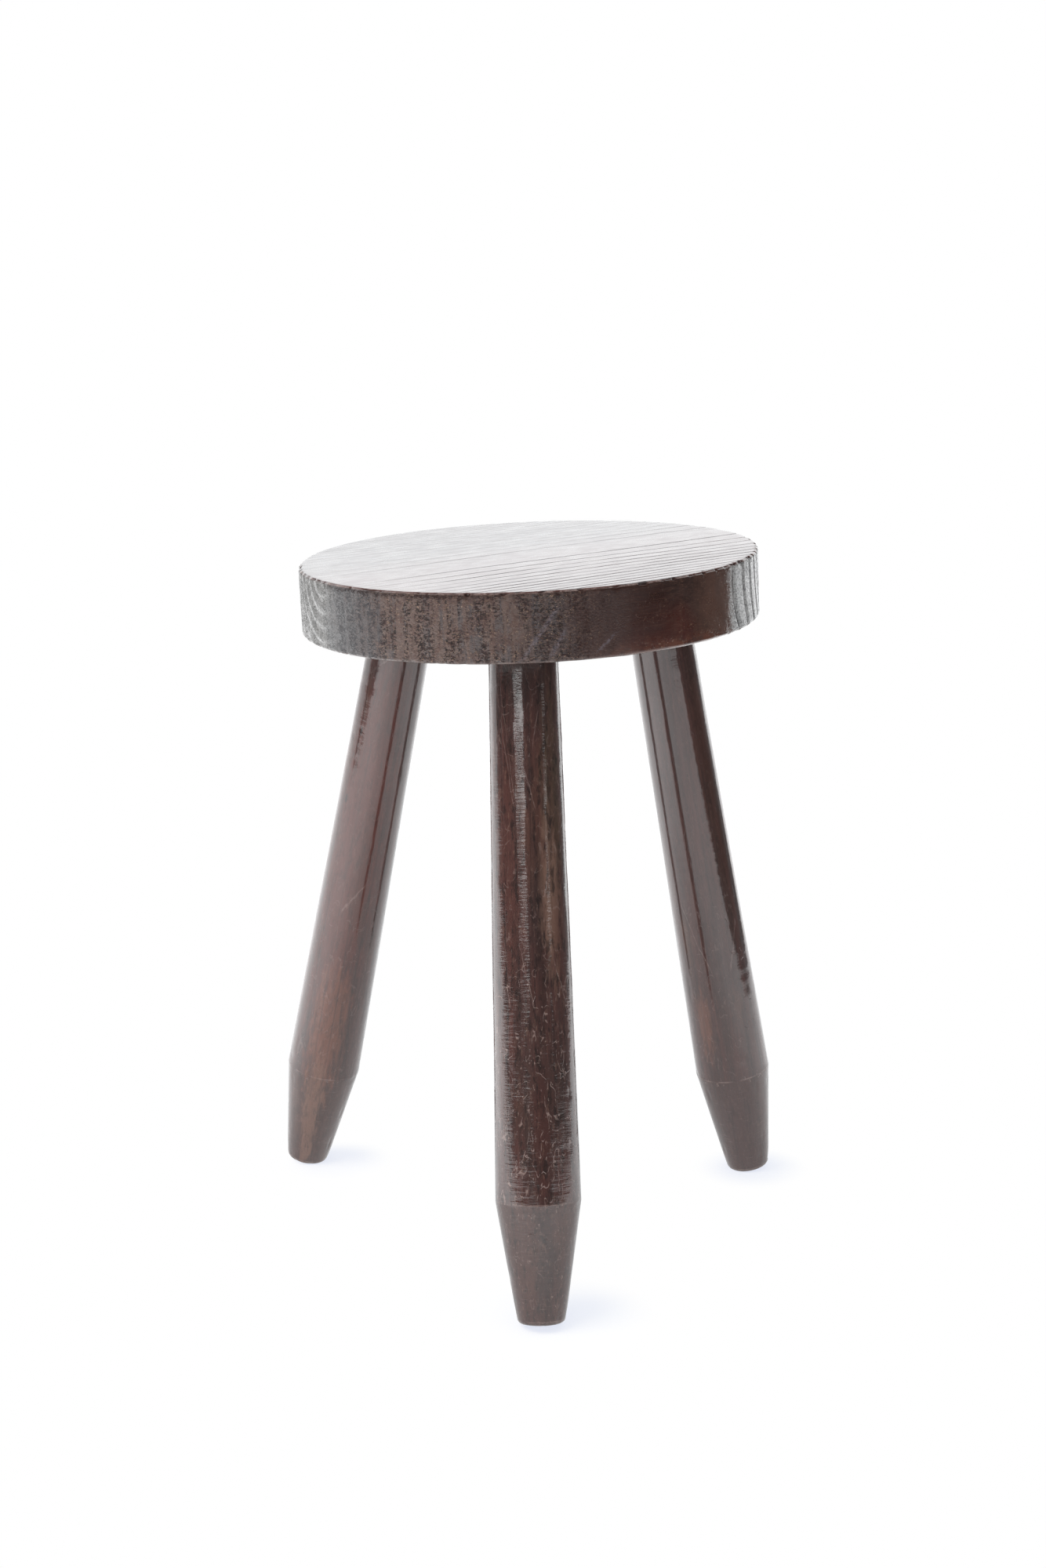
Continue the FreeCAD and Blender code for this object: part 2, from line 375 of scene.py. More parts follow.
def worn_board(points, seat):
    """The board as use has left it: uneven faces, worn and chipped arrises. Nothing grows outwards."""
    radius = seat.diameter / MM / 2
    thick = seat.thickness / MM
    x, y, z = points.T
    out = np.hypot(x, y)
    round_at = np.arctan2(y, x)
    rim = np.column_stack((radius * np.cos(round_at), radius * np.sin(round_at), np.zeros(len(points))))
    heading = np.column_stack((np.cos(round_at), np.sin(round_at)))
    result = points.copy()
    # The turned edge has slow flats and, in the end grain, small torn hollows.
    side = step(radius - 3, radius - 0.5, out)
    far_turn = np.degrees(np.arctan2(-y, -x))
    far = side * step(-60, -30, far_turn) * (1 - step(-4, 10, far_turn))
    end = np.abs(np.cos(round_at)) ** 2 * (1 - 0.7 * far)
    stretched = points * (1, 1, 0.35)
    hollow = 0.12 * (1 + bumps(points, 34, 1)) + 0.10 * end * (1 + bumps(stretched, 1.7, 2))
    hollow += 0.22 * end * step(0.45, 0.95, bumps(stretched, 4.0, 3))
    result[:, :2] -= heading * (hollow * side)[:, None]
    # The upper arris is rubbed round, more so at the front left, and chipped.
    front_left = step(-0.15, 0.4, np.cos(round_at - math.radians(221.5)))
    rub = 0.25 + 0.25 * (1 + bumps(rim, 22, 4)) + 0.5 * front_left * (1 + bumps(rim, 9, 5))
    chip = step(0.35, 0.95, bumps(rim, 4.2, 6)) * (0.6 + 1.2 * front_left)
    chip += step(0.5, 0.95, bumps(rim, 11, 7)) * 1.2
    off_arris = np.hypot(radius - out, thick - z)
    near = np.exp(-(off_arris / 1.1) ** 2)
    wide = np.exp(-(off_arris / 1.9) ** 2)
    depth = near * rub * 0.8 + wide * chip * seat.chipping
    result[:, :2] -= heading * depth[:, None]
    result[:, 2] -= depth * 0.9
    # The lower arris has lost small scallops of end grain.
    near = np.exp(-(np.hypot(radius - out, z) / 1.8) ** 2)
    scallops = end * step(0.2, 0.9, bumps(rim, 3.0, 9))
    depth = np.clip(near * (0.2 + 0.2 * bumps(rim, 15, 8) + scallops), 0, None)
    result[:, :2] -= heading * depth[:, None]
    result[:, 2] += depth * 0.7
    # The top is planed by hand and worn a little hollow along the softer wood.
    _, phase, beside = growth_rings(x, y, z, np.sin, np.sqrt, lambda value: value % 1)
    line = 1 - step(0.3, 1.3, beside)
    in_front = (1 - 0.65 * step(-25, 60, y)) * (0.3 + 0.7 * step(-130, -70, x))
    on_top = step(thick - 0.6, thick - 0.05, z)
    broken = step(-0.5, 0.3, bumps(points, (60, 8, 20), 10))
    dip = (0.05 + 0.12 * broken) * line * in_front + 0.08 * np.abs(phase - 0.5)
    dip += 0.10 * (1 + bumps(points, (70, 35, 50), 11))
    result[:, 2] -= on_top * dip
    # At the right end the years stand out as grooves down the edge.
    result[:, :2] -= heading * (line * side * step(62, 70, x))[:, None]
    # At the left end the saw has left arcs, and the fibres are torn out between them.
    arcs = np.hypot(far_turn * ARC_FLATNESS, z - ARC_HEIGHT) + 2.0 * bumps(points, (11, 11, 11), 13)
    gouge = 0.8 - 0.8 * np.cos(arcs * 2 * math.pi / ARC_STEP)
    gouge += 0.3 * step(0, 0.8, bumps(points, (3, 3, 2.2), 14))
    result[:, :2] -= heading * (0.5 * far * gouge)[:, None]
    # The underside keeps the marks of the saw, across the grain.
    below = 1 - step(0.05, 0.6, z)
    result[:, 2] += below * 0.12 * (1 + bumps(points, (7, 60, 50), 12))
    return result


def make_seat(seat, legs):
    """The round board, from two discs with the edge between them, bored for the legs."""
    at = grained(seat)
    radius = seat.diameter / MM / 2
    thick = seat.thickness / MM
    low = seat.bottom_easing / MM
    # Rows of the edge, radius and height, down from the top.
    edge = [(radius - 2.6, thick), (radius - 1.6, thick), (radius - seat.top_easing / MM, thick)]
    edge += [(radius - 0.45, thick - 0.2), (radius - 0.2, thick - 0.45)]
    edge += [(radius, height) for height in (43.2, 42.7, 42, 41.1, *range(40, 5, -2), 3.0, 2.2, low)]
    edge += [(radius - 0.4, 0.9), (radius - 0.9, 0.4)]
    edge += [(radius - inset, 0) for inset in (low, 2.4, RIM)]
    top = disc(radius - RIM, thick, TOP_ROWS, at)
    editing(top)
    bpy.ops.mesh.select_non_manifold(
        extend=False, use_wire=False, use_boundary=True, use_multi_face=False, use_non_contiguous=False, use_verts=False
    )
    up = at.to_3x3() @ Vector((0, 0, 1))
    before = (radius - RIM, thick)
    for now in edge:
        extruded(up * (now[1] - before[1]) * MM)
        factor = now[0] / before[0]
        if factor != 1:
            bpy.ops.transform.resize(value=(factor,) * 3, center_override=at @ Vector((0, 0, now[1] * MM)))
        before = now
    done_editing()
    board = joined(top, disc(radius - RIM, 0, BOTTOM_ROWS, at))
    clean(board)
    write_points(board.data, placed(worn_board(local(read_points(board.data), at), seat), at))
    for cutter in sockets(seat, legs):
        boring = board.modifiers.new("Socket", "BOOLEAN")
        boring.operation = "DIFFERENCE"
        boring.solver = "EXACT"
        boring.object = cutter
        only(board)
        bpy.ops.object.modifier_apply(modifier=boring.name)
        bpy.data.objects.remove(cutter)
    return board


def leg_outline(leg, legs):
    """Stations (radius, height) of a turned leg in millimetres, from the middle of the foot's end upwards."""
    long = legs.length / MM
    foot = leg.foot / MM / 2
    knee = leg.knee / MM / 2
    shoulder = leg.shoulder / MM / 2
    knee_at = legs.knee_height / MM - long
    corners = [(foot, -long, legs.foot_rounding / MM), (knee, knee_at, legs.knee_rounding / MM)]
    rise = shoulder * math.tan(leg.splay) + 3
    taper = (knee - shoulder) / -knee_at
    ends = [(0.0, -long)] + [corner[:2] for corner in corners] + [(shoulder - taper * rise, rise)]
    stations = [(0.0, -long), (foot * 0.35, -long), (foot * 0.65, -long)]
    for index, (radius, height, rounding) in enumerate(corners):
        here = Vector((radius, height))
        before = (Vector(ends[index]) - here).normalized()
        after = (Vector(ends[index + 2]) - here).normalized()
        half = before.angle(after) / 2
        setback = rounding / math.tan(half)
        start = here + before * setback
        centre = here + (before + after).normalized() * rounding / math.sin(half)
        first = start - centre
        turn = first.angle_signed(here + after * setback - centre)
        if stations[-1][1] > -long:
            low = Vector(stations[-1])
            cuts = max(1, round((start - low).length / 2.2))
            stations += [tuple(low.lerp(start, cut / cuts)) for cut in range(1, cuts)]
        for part in range(7):
            spin = turn * part / 6
            swung = Vector((
                first.x * math.cos(spin) + first.y * math.sin(spin),
                -first.x * math.sin(spin) + first.y * math.cos(spin),
            ))
            stations.append(tuple(centre + swung))
    low = Vector(stations[-1])
    high = Vector(ends[-1])
    cuts = round((high - low).length / 2.3)
    stations += [tuple(low.lerp(high, cut / cuts)) for cut in range(1, cuts + 1)]
    stations.append((0.0, rise))
    return stations


def worn_leg(points, legs, seed):
    """The leg as the lathe and the years have left it. Nothing grows outwards."""
    long = legs.length / MM
    knee_at = legs.knee_height / MM - long
    height = points[:, 2]
    radius = np.hypot(points[:, 0], points[:, 1])
    inward = -points[:, :2] / np.maximum(radius, 0.001)[:, None]
    outside = step(9, 12, radius)
    # Slow facets of a hand-held tool, its fine ridges, and small dents lower down.
    depth = 0.16 * (1 + bumps(points, (26, 26, 60), seed))
    depth += 0.05 * (1 + bumps(points * (0.1, 0.1, 1), (9, 9, 2.6), seed + 1))
    low = 1 - step(knee_at - 10, knee_at + 130, height)
    depth += (0.08 + 0.25 * low) * step(0.55, 0.9, bumps(points, (5, 5, 8), seed + 2))
    # The knee's arris is rubbed and nicked, and the foot's end is bruised.
    knee = np.exp(-((height - knee_at) / 4) ** 2)
    depth += knee * 0.5 * step(0.3, 0.9, bumps(points, (6, 6, 5), seed + 3))
    end = np.exp(-((height + long) / 6) ** 2)
    bruises = 0.6 * step(0.4, 0.9, bumps(points, (4, 4, 4), seed + 5))
    depth += end * (0.3 * (1 + bumps(points, (9, 9, 9), seed + 4)) + bruises)
    result = points.copy()
    result[:, :2] += inward * (depth * outside)[:, None]
    return result


def make_leg(which, leg, legs, seat):
    """One turned leg, coped to the seat, worn to the floor, with the split tenon of its CAD node."""
    at = leg_frames(leg, seat)[0]
    across = at.to_3x3() @ Vector((1, 0, 0))
    axis = at.to_3x3() @ Vector((0, 0, 1))
    spots = [at.translation + (across * radius + axis * height) * MM for radius, height in leg_outline(leg, legs)]
    nothing_selected()
    bpy.ops.mesh.primitive_plane_add(size=MM, location=spots[0])
    turned = bpy.context.object
    at_rest(turned)
    editing(turned, "SELECT")
    bpy.ops.mesh.merge(type="CENTER")
    for before, now in zip(spots, spots[1:]):
        extruded(now - before)
    bpy.ops.mesh.select_all(action="SELECT")
    bpy.ops.mesh.spin(steps=128, angle=2 * math.pi, center=at.translation, axis=axis)
    done_editing()
    clean(turned)
    worn = worn_leg(local(read_points(turned.data), at), legs, LEG_SEEDS[which])
    write_points(turned.data, placed(worn, at))
    seat_at = seat_frame(seat)
    up = seat_at.to_3x3() @ Vector((0, 0, 1))
    editing(turned, "SELECT")
    cut_off((0, 0, 0), (0, 0, 1), clear_inner=True)
    bpy.ops.mesh.select_all(action="SELECT")
    cut_off(seat_at.translation, up, clear_outer=True)
    done_editing()
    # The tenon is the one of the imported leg: everything just above the underside of the seat. It is set a
    # little into the turned leg.
    tenon = frame["nodes"]["leg_" + which].copy()
    tenon.data = tenon.data.copy()
    bpy.context.scene.collection.objects.link(tenon)
    tenon.parent = None
    tenon.hide_render = False
    tenon.hide_set(False)
    clean(tenon)
    editing(tenon, "SELECT")
    cut_off(seat_at.translation + up * 0.05 * MM, up, clear_inner=True)
    bpy.ops.transform.translate(value=-axis * 2 * MM)
    done_editing()
    return joined(turned, tenon)


# Materials --------


def math_node(operation, swapped=False):
    """A method of Value that lays out one math node."""
    def method(self, *others):
        return self.nodes.math(operation, *((*others, self) if swapped else (self, *others)))
    return method


class Value:
    """An output of a node, to reckon with as with a number."""

    __add__ = math_node("ADD")
    __radd__ = math_node("ADD", swapped=True)
    __sub__ = math_node("SUBTRACT")
    __rsub__ = math_node("SUBTRACT", swapped=True)
    __mul__ = math_node("MULTIPLY")
    __truediv__ = math_node("DIVIDE")
    __pow__ = math_node("POWER")
    __abs__ = math_node("ABSOLUTE")
    most = math_node("MAXIMUM")
    least = math_node("MINIMUM")
    sine = math_node("SINE")
    root = math_node("SQRT")
    fraction = math_node("FRACT")

    def __init__(self, nodes, socket):
        self.nodes = nodes
        self.socket = socket

    def rise(self, low, high, bottom=0.0, top=1.0):
        """Smooth rise between two limits."""
        limits = (low, high, bottom, top)
        return self.nodes.node("MapRange", self, *limits, interpolation_type="SMOOTHSTEP")

    def fall(self, low, high):
        """Smooth fall from 1 to 0 between two limits."""
        return self.rise(low, high, 1.0, 0.0)

    def line(self, place, half_width):
        """1 along a line where the value passes a place, 0 beside it."""
        return abs(self - place).fall(0.0, half_width)


class Nodes:
    """Lays out the nodes of a material or a world."""

    def __init__(self, owner):
        owner.use_nodes = True
        self.tree = owner.node_tree
        self.tree.nodes.clear()

    def join(self, value, socket):
        if isinstance(value, Value):
            self.tree.links.new(value.socket, socket)
        elif hasattr(value, "__len__") and len(socket.default_value) == 4:
            socket.default_value = (*value[:3], 1.0)
        else:
            socket.default_value = value

    def node(self, kind, *values, inputs=None, output=0, **settings):
        """One output of a new node. The values go to its first inputs, or by name or number to others."""
        made = self.tree.nodes.new("ShaderNode" + kind)
        for name, setting in settings.items():
            setattr(made, name, setting)
        for place, value in (*enumerate(values), *(inputs or {}).items()):
            self.join(value, made.inputs[place])
        return Value(self, made.outputs[output])

    def surface(self, kind, shader):
        self.join(shader, self.tree.nodes.new("ShaderNode" + kind).inputs["Surface"])

    def parts(self, vector):
        """The x, y and z of a vector."""
        apart = self.node("SeparateXYZ", vector).socket.node
        return [Value(self, socket) for socket in apart.outputs]

    def place(self, kind="Object"):
        return self.node("TexCoord", output=kind)

    def ray(self, kind):
        return self.node("LightPath", output=kind)

    def shade(self, kind, tint, **more):
        """A plain shader of one colour."""
        return self.node(kind, inputs={"Color": tint, **more})

    def pick(self, factor, first, second):
        """The first shader at 0, the second at 1."""
        return self.node("MixShader", factor, first, second)

    def math(self, operation, *values, clamp=False):
        return self.node("Math", *values, operation=operation, use_clamp=clamp)

    def vector(self, operation, *values):
        output = "Value" if operation in ("LENGTH", "DISTANCE") else "Vector"
        return self.node("VectorMath", *values, output=output, operation=operation)

    def mix(self, factor, first, second):
        """The first colour at 0, the second at 1."""
        inputs = {0: factor, 6: first, 7: second}
        return self.node("Mix", inputs=inputs, output=2, data_type="RGBA")

    def stain(self, base, *stains):
        """A colour below stains, each given by its strength and the 0 to 255 values of its colour."""
        for strength, *shade in stains:
            base = self.mix(strength, base, linear(*shade))
        return base

    def bump(self, height, millimetres, **normal):
        return self.node("Bump", inputs={"Height": height, "Distance": millimetres * MM, **normal})


class Finish(Nodes):
    """A material whose lengths are the millimetres of a local frame, with a shift for all its noises."""

    def __init__(self, name, matrix, seed=0.0):
        self.material = bpy.data.materials.new(name)
        super().__init__(self.material)
        self.seed = seed
        self.shader = self.node("BsdfPrincipled")
        self.surface("OutputMaterial", self.shader)
        back = matrix.inverted()
        inputs = {"Location": back.translation / MM, "Rotation": back.to_euler("XYZ"), "Scale": (1 / MM,) * 3}
        self.at = self.node("Mapping", self.place(), inputs=inputs, vector_type="POINT")
        self.x, self.y, self.z = self.parts(self.at)

    def set(self, **sockets):
        for name, value in sockets.items():
            self.join(value, self.shader.socket.node.inputs[name.replace("_", " ")])

    def noise(self, cell, detail=3, roughness=0.6, distortion=0.0, shift=0.0):
        """Noise from about 0 to 1, with features as large as cell says along each axis."""
        shift += self.seed
        at = self.vector("MULTIPLY", self.at, tuple(1 / size for size in cell))
        at = self.vector("ADD", at, (shift, shift * 1.7, shift * 0.6))
        inputs = {"Vector": at, "Scale": 1.0, "Detail": detail, "Roughness": roughness, "Distortion": distortion}
        return self.node("TexNoise", inputs=inputs)

    def off_axis(self):
        """Distance from the Z axis."""
        return self.vector("LENGTH", self.vector("MULTIPLY", self.at, (1.0, 1.0, 0.0)))

    def degrees(self, x, y):
        """Degrees from X towards Y."""
        return self.math("DEGREES", self.math("ARCTAN2", y, x))

    def spot(self, turn, place, reach, height, rise, ragged=0.0):
        """1 at a place given by degrees and height, falling to 0 at its reach."""
        round_it = ((turn - place) / reach) ** 2.0
        up = ((self.z - height) / rise) ** 2.0
        return (round_it + up + ragged).fall(0.1, 1.0)


# Scores down the seat's edge: degrees at the bottom, lean in degrees to a millimetre, lowest and highest point.
SCORES = ((-122.7, 0.28, 0.0, 36.0), (-116.2, 0.22, 2.0, 22.0), (-106.2, 0.42, 3.0, 17.0))


def seat_material(seat):
    """Old varnish over dark stained wood, rough in the end grain and worn pale at the arrises."""
    wood = Finish("Board varnish", grained(seat))
    x, y, z = wood.x, wood.y, wood.z
    thick = seat.thickness / MM
    radius = seat.diameter / MM / 2
    ring, phase, beside = growth_rings(x, y, z, Value.sine, Value.root, Value.fraction)
    broken = wood.noise((60, 6, 12), shift=3).rise(0.34, 0.56, 0.4, 1.0)
    late = beside.fall(0.35, 1.4) * broken
    fibre = wood.noise((26, 0.5, 0.5), shift=1)
    streak = wood.noise((110, 2.6, 2.6), 3, 0.55, shift=2)
    out = wood.off_axis()
    turn = wood.degrees(x, y)
    # The top: pale and dark bands along the grain, dark broken lines between them, clearest in front.
    top = z.rise(thick - 1.2, thick - 0.5)
    front = y.fall(-25.0, 60.0)
    pale = phase.rise(0.5, 0.7) * phase.fall(0.7, 1.0) * front.rise(0.0, 1.0, 0.3, 1.0) * ring.rise(0.5, 2.0)
    # Where the edge cuts the fibres: torn at both ends of the grain, smooth between them.
    side = out.rise(radius - 2.2, radius - 0.9) * z.fall(thick - 2.0, thick - 0.9)
    ragged = (wood.noise((7, 7, 9), 4, 0.65, shift=9) - 0.5) * 46.0
    front_end = (x + ragged).fall(-56.0, -12.0)
    fleck = wood.noise((1.5, 1.5, 1.1), 4, 0.75, shift=12)
    back_end = (x + ragged * 0.25 + (fleck - 0.5) * 20.0).rise(63.0, 72.0)
    end = side * front_end.most(back_end)
    far_turn = wood.degrees(x * -1.0, y * -1.0)
    far_end = front_end * (far_turn + ragged * 0.5).fall(0.0, 22.0) * far_turn.rise(-62.0, -36.0)
    # Painted reflection: the silver grey of the end grain at both ends, where it is seen at a grazing angle, stands in
    # for the bright studio it reflects.
    painted_sheen = side * (back_end * turn.fall(-26.0, -2.0)).most(far_end)
    grain = wood.noise((1.1, 1.1, 0.8), 3, 0.7, shift=5)
    tear = wood.noise((3.4, 3.4, 1.6), 4, 0.7, shift=10).rise(0.50, 0.57)
    speck = wood.noise((1.7, 1.7, 1.3), 3, 0.7, shift=14).rise(0.51, 0.58)
    pale_fleck = fleck.rise(0.56, 0.64) * wood.noise((8, 8, 8), shift=15).rise(0.38, 0.62, 0.25, 1.0)
    band = wood.noise((5.0, 5.0, 120), shift=11)
    blotch = wood.noise((12, 12, 10), 4, 0.65, shift=4)
    mottled = blotch - 0.5
    cluster = wood.noise((5, 5, 34), shift=13).rise(0.42, 0.55, 0.1, 1.0)
    low_arris = z.fall(3.0, 10.0)
    # Colours of the smooth side grain and of the top.
    plain = wood.stain(
        wood.mix(streak.rise(0.3, 0.7), seat.heart, seat.wood),
        (blotch.rise(0.40, 0.62) * 0.5, 50, 29, 24),
        (fibre.rise(0.4, 0.7) * 0.2, 108, 78, 70),
    )
    top_wood = wood.stain(
        wood.mix(streak.rise(0.3, 0.7), linear(62, 42, 37), linear(84, 62, 56)),
        (blotch.rise(0.5, 0.7) * 0.5, 50, 46, 60),
        (front * 0.7, 104, 58, 52),
        (pale * 0.6, 146, 124, 120),
    )
    crumb = fleck.rise(0.58, 0.66) * blotch.rise(0.42, 0.54) * side
    plain = wood.stain(
        wood.mix(top, plain, top_wood),
        (wood.spot(turn, -88, 14, 12, 24, (fibre - 0.5) * 0.9) * side * 0.7, 92, 38, 30),
        (side * band.rise(0.48, 0.58) * 0.3, 92, 60, 48),
        (wood.spot(turn, -68, 12, 20, 34, mottled) * side * 0.75, 106, 74, 62),
        (wood.spot(turn, -95, 15, 30, 24, mottled) * side * 0.6, 34, 18, 15),
        (side * low_arris * blotch.rise(0.4, 0.6) * 0.75, 122, 72, 54),
        (side * fibre.rise(0.50, 0.62) * 0.35, 110, 76, 60),
        (crumb * low_arris.rise(0, 1, 0.3, 0.8), 172, 128, 98),
    )
    # Colours of the torn end grain: grey brown bands, red brown hollows, pale flecks of torn fibre.
    strand = wood.noise((3, 3, 1.2), 3, 0.7, 0.6, 18).rise(0.54, 0.62)
    torn = wood.stain(
        wood.mix(band.rise(0.40, 0.52, 0.1, 1), linear(90, 79, 79), seat.end_grain),
        (blotch.rise(0.46, 0.58) * 0.6, 94, 58, 46),
        (x.rise(-88, -66) * x.fall(20, 60) * 0.5, 56, 48, 52),
        ((x + ragged).rise(-66, -42) * x.fall(20, 60) * 0.8, 58, 28, 23),
        (tear * cluster, 50, 22, 18),
        (speck * cluster * 0.9, 24, 11, 9),
        (strand * x.rise(-95, -50, 0.15, 0.5), 130, 100, 86),
        (pale_fleck * 0.75, 186, 150, 122),
    )
    # The saw's arcs at the left end are drawn light and dark in the painted reflection. It also gets dark specks at the
    # right end, and a darker grey patch where it fades at the left end.
    arcs = ((far_turn * ARC_FLATNESS) ** 2.0 + (z - ARC_HEIGHT) ** 2.0).root()
    arc = ((arcs + ragged * 0.08) * (2 * math.pi / ARC_STEP)).sine().rise(0.2, 1)
    arc = (arc * far_turn.fall(-6, 8)).most(back_end)
    torn = wood.stain(
        wood.mix(painted_sheen * 0.85, torn, wood.mix(arc, linear(148, 148, 146), linear(212, 212, 211))),
        (painted_sheen * speck * back_end.rise(0, 1, 0.3, 0.6), 60, 58, 60),
        (wood.spot(far_turn, 12, 13, 16, 60, mottled) * 0.6, 74, 74, 79),
    )
    end = end.most(side * pale_fleck * (0.2 + low_arris * 0.7))
    ruddy = wood.spot(turn, -98, 17, 22, 40, mottled) * side
    skin = wood.stain(wood.mix(end, plain, torn), (ruddy * 0.5, 66, 30, 22))
    # Straight pale scores down the edge, left by the lathe's tool as the board turned.
    for bottom, lean, low, high in SCORES:
        score = (turn - z * lean).line(bottom, 1.1) * side
        score = score * z.rise(low, low + 4) * z.fall(high - 6, high) * fleck.rise(0.40, 0.56)
        skin = wood.stain(skin, (score * 0.55, 126, 116, 126))
    # Dark lines between the years, sharp where they reach the edge at the right end: darker latewood, with painted
    # shade of their grooves.
    crisp = side * back_end
    late = late.most(crisp * late.rise(0.2, 0.5))
    latewood_and_shade = late * (crisp + top).rise(0.0, 1.0, 0.12, 1.0) * front.rise(0.0, 1.0, 0.35, 1.0)
    latewood_and_shade = latewood_and_shade * x.rise(-130.0, -70.0, 0.3, 1.0)
    skin = wood.stain(skin, (latewood_and_shade * 0.9, 30, 20, 23))
    # Pale wood along the arrises.
    worn_top = out.rise(radius - 1.8, radius - 0.7) * z.rise(thick - 1.6, thick - 0.5)
    worn_low = out.rise(radius - 2.2, radius - 0.8) * z.fall(0.5, 1.8)
    worn = (worn_top + worn_low * 0.6) * wood.noise((9, 9, 9), shift=7).rise(0.3, 0.55)
    skin = wood.mix(worn * fleck.rise(0.40, 0.58, 0.3, 1.0), skin, seat.worn)
    # A painted shadow: a dark ragged line below the arris at the front left.
    shadow_jitter = ragged * 0.07 + (fleck - 0.5) * 10.0
    painted_arris_shadow = (z + shadow_jitter).line(thick - 2.4, 1.6) * wood.spot(turn, -152.0, 34.0, thick, 20.0) * side
    painted_arris_shadow = painted_arris_shadow * wood.noise((4, 4, 3), shift=19).rise(0.40, 0.52, 0.15, 1.0)
    skin = wood.stain(skin, (painted_arris_shadow * 0.9, 50, 20, 18))
    # Relief, gloss, and where the varnish is gone.
    on_side = top.rise(0.0, 1.0, 1.0, 0.05)
    relief = fibre * on_side * 0.05 + streak * on_side * 0.12 + painted_arris_shadow * -0.8 + latewood_and_shade * crisp * -2.5
    pits = grain * 0.5 + tear * -0.7 + speck * -0.5 + pale_fleck * 0.4
    normal = wood.bump(end * pits * 0.6, 0.30, Normal=wood.bump(relief, 0.30))
    rough = wood.noise((14, 7, 9), shift=8).rise(0.3, 0.7, 0.26, 0.38) + end * 0.22 + latewood_and_shade * 0.3
    pitted = end * tear.most(speck) * cluster * 0.8
    bare = latewood_and_shade * crisp.rise(0.0, 1.0, 0.5, 0.95) + painted_arris_shadow * 0.9 + pitted + far_end * side * 0.15 + ruddy * 0.5
    film = wood.math("SUBTRACT", 1.0, bare, clamp=True)
    wood.set(Base_Color=skin, Roughness=rough, Normal=normal, IOR=1.5)
    wood.set(Coat_Weight=film, Coat_Roughness=0.18, Coat_IOR=1.5, Coat_Normal=normal)
    return wood.material


# Stains on each leg: degrees from the front to the right and their reach, height and its reach in
# millimetres, colour and strength.
PATCHES = {
    "front": (
        (-36, 26, -145, 100, (92, 54, 46), 0.35),
        (40, 22, -92, 84, (94, 76, 58), 0.5),
        (32, 22, -155, 60, (136, 102, 86), 0.8),
        (8, 22, -380, 45, (54, 36, 34), 0.6),
        (50, 18, -185, 50, (96, 56, 46), 0.4),
        (13, 9, -175, 85, (44, 30, 28), 0.4),
        (-10, 28, -20, 26, (46, 36, 34), 0.4),
        (10, 60, -285, 55, (62, 44, 38), 0.4),
        (8, 16, -300, 50, (84, 42, 36), 0.4),
    ),
    "left": (
        (-12, 60, -170, 200, (116, 56, 46), 0.5),
        (-3, 38, -308, 62, (134, 84, 64), 0.65),
        (-8, 22, -375, 60, (136, 98, 82), 0.8),
        (4, 14, -180, 60, (96, 66, 58), 0.4),
        (-42, 7, -53, 26, (88, 54, 38), 0.5),
        (-48, 4, -133, 4, (35, 25, 22), 0.8),
        (-42, 4, -82, 4, (35, 25, 22), 0.8),
    ),
    "right": (
        (-36, 16, -300, 32, (134, 84, 64), 0.6),
        (-46, 12, -235, 26, (120, 84, 66), 0.35),
        (0, 50, -385, 55, (88, 64, 64), 0.4),
        (42, 25, -140, 130, (84, 56, 44), 0.35),
    ),
}
# Old scratches on each leg: from degrees and height to degrees and height.
SCRATCHES = {
    "front": (
        (-53, -19, -20, -101), (-43, -19, -17, -103), (-53, -62, -39, -134), (-6, -75, 13, -103),
        (31, -190, 62, -236), (-45, -175, -30, -222), (-20, -180, 4, -226), (8, -66, 22, -40),
    ),
    "left": ((-32, -38, 10, -8), (-20, -215, 18, -190)),
    "right": ((-50, -205, -8, -262), (20, -262, 50, -225)),
}


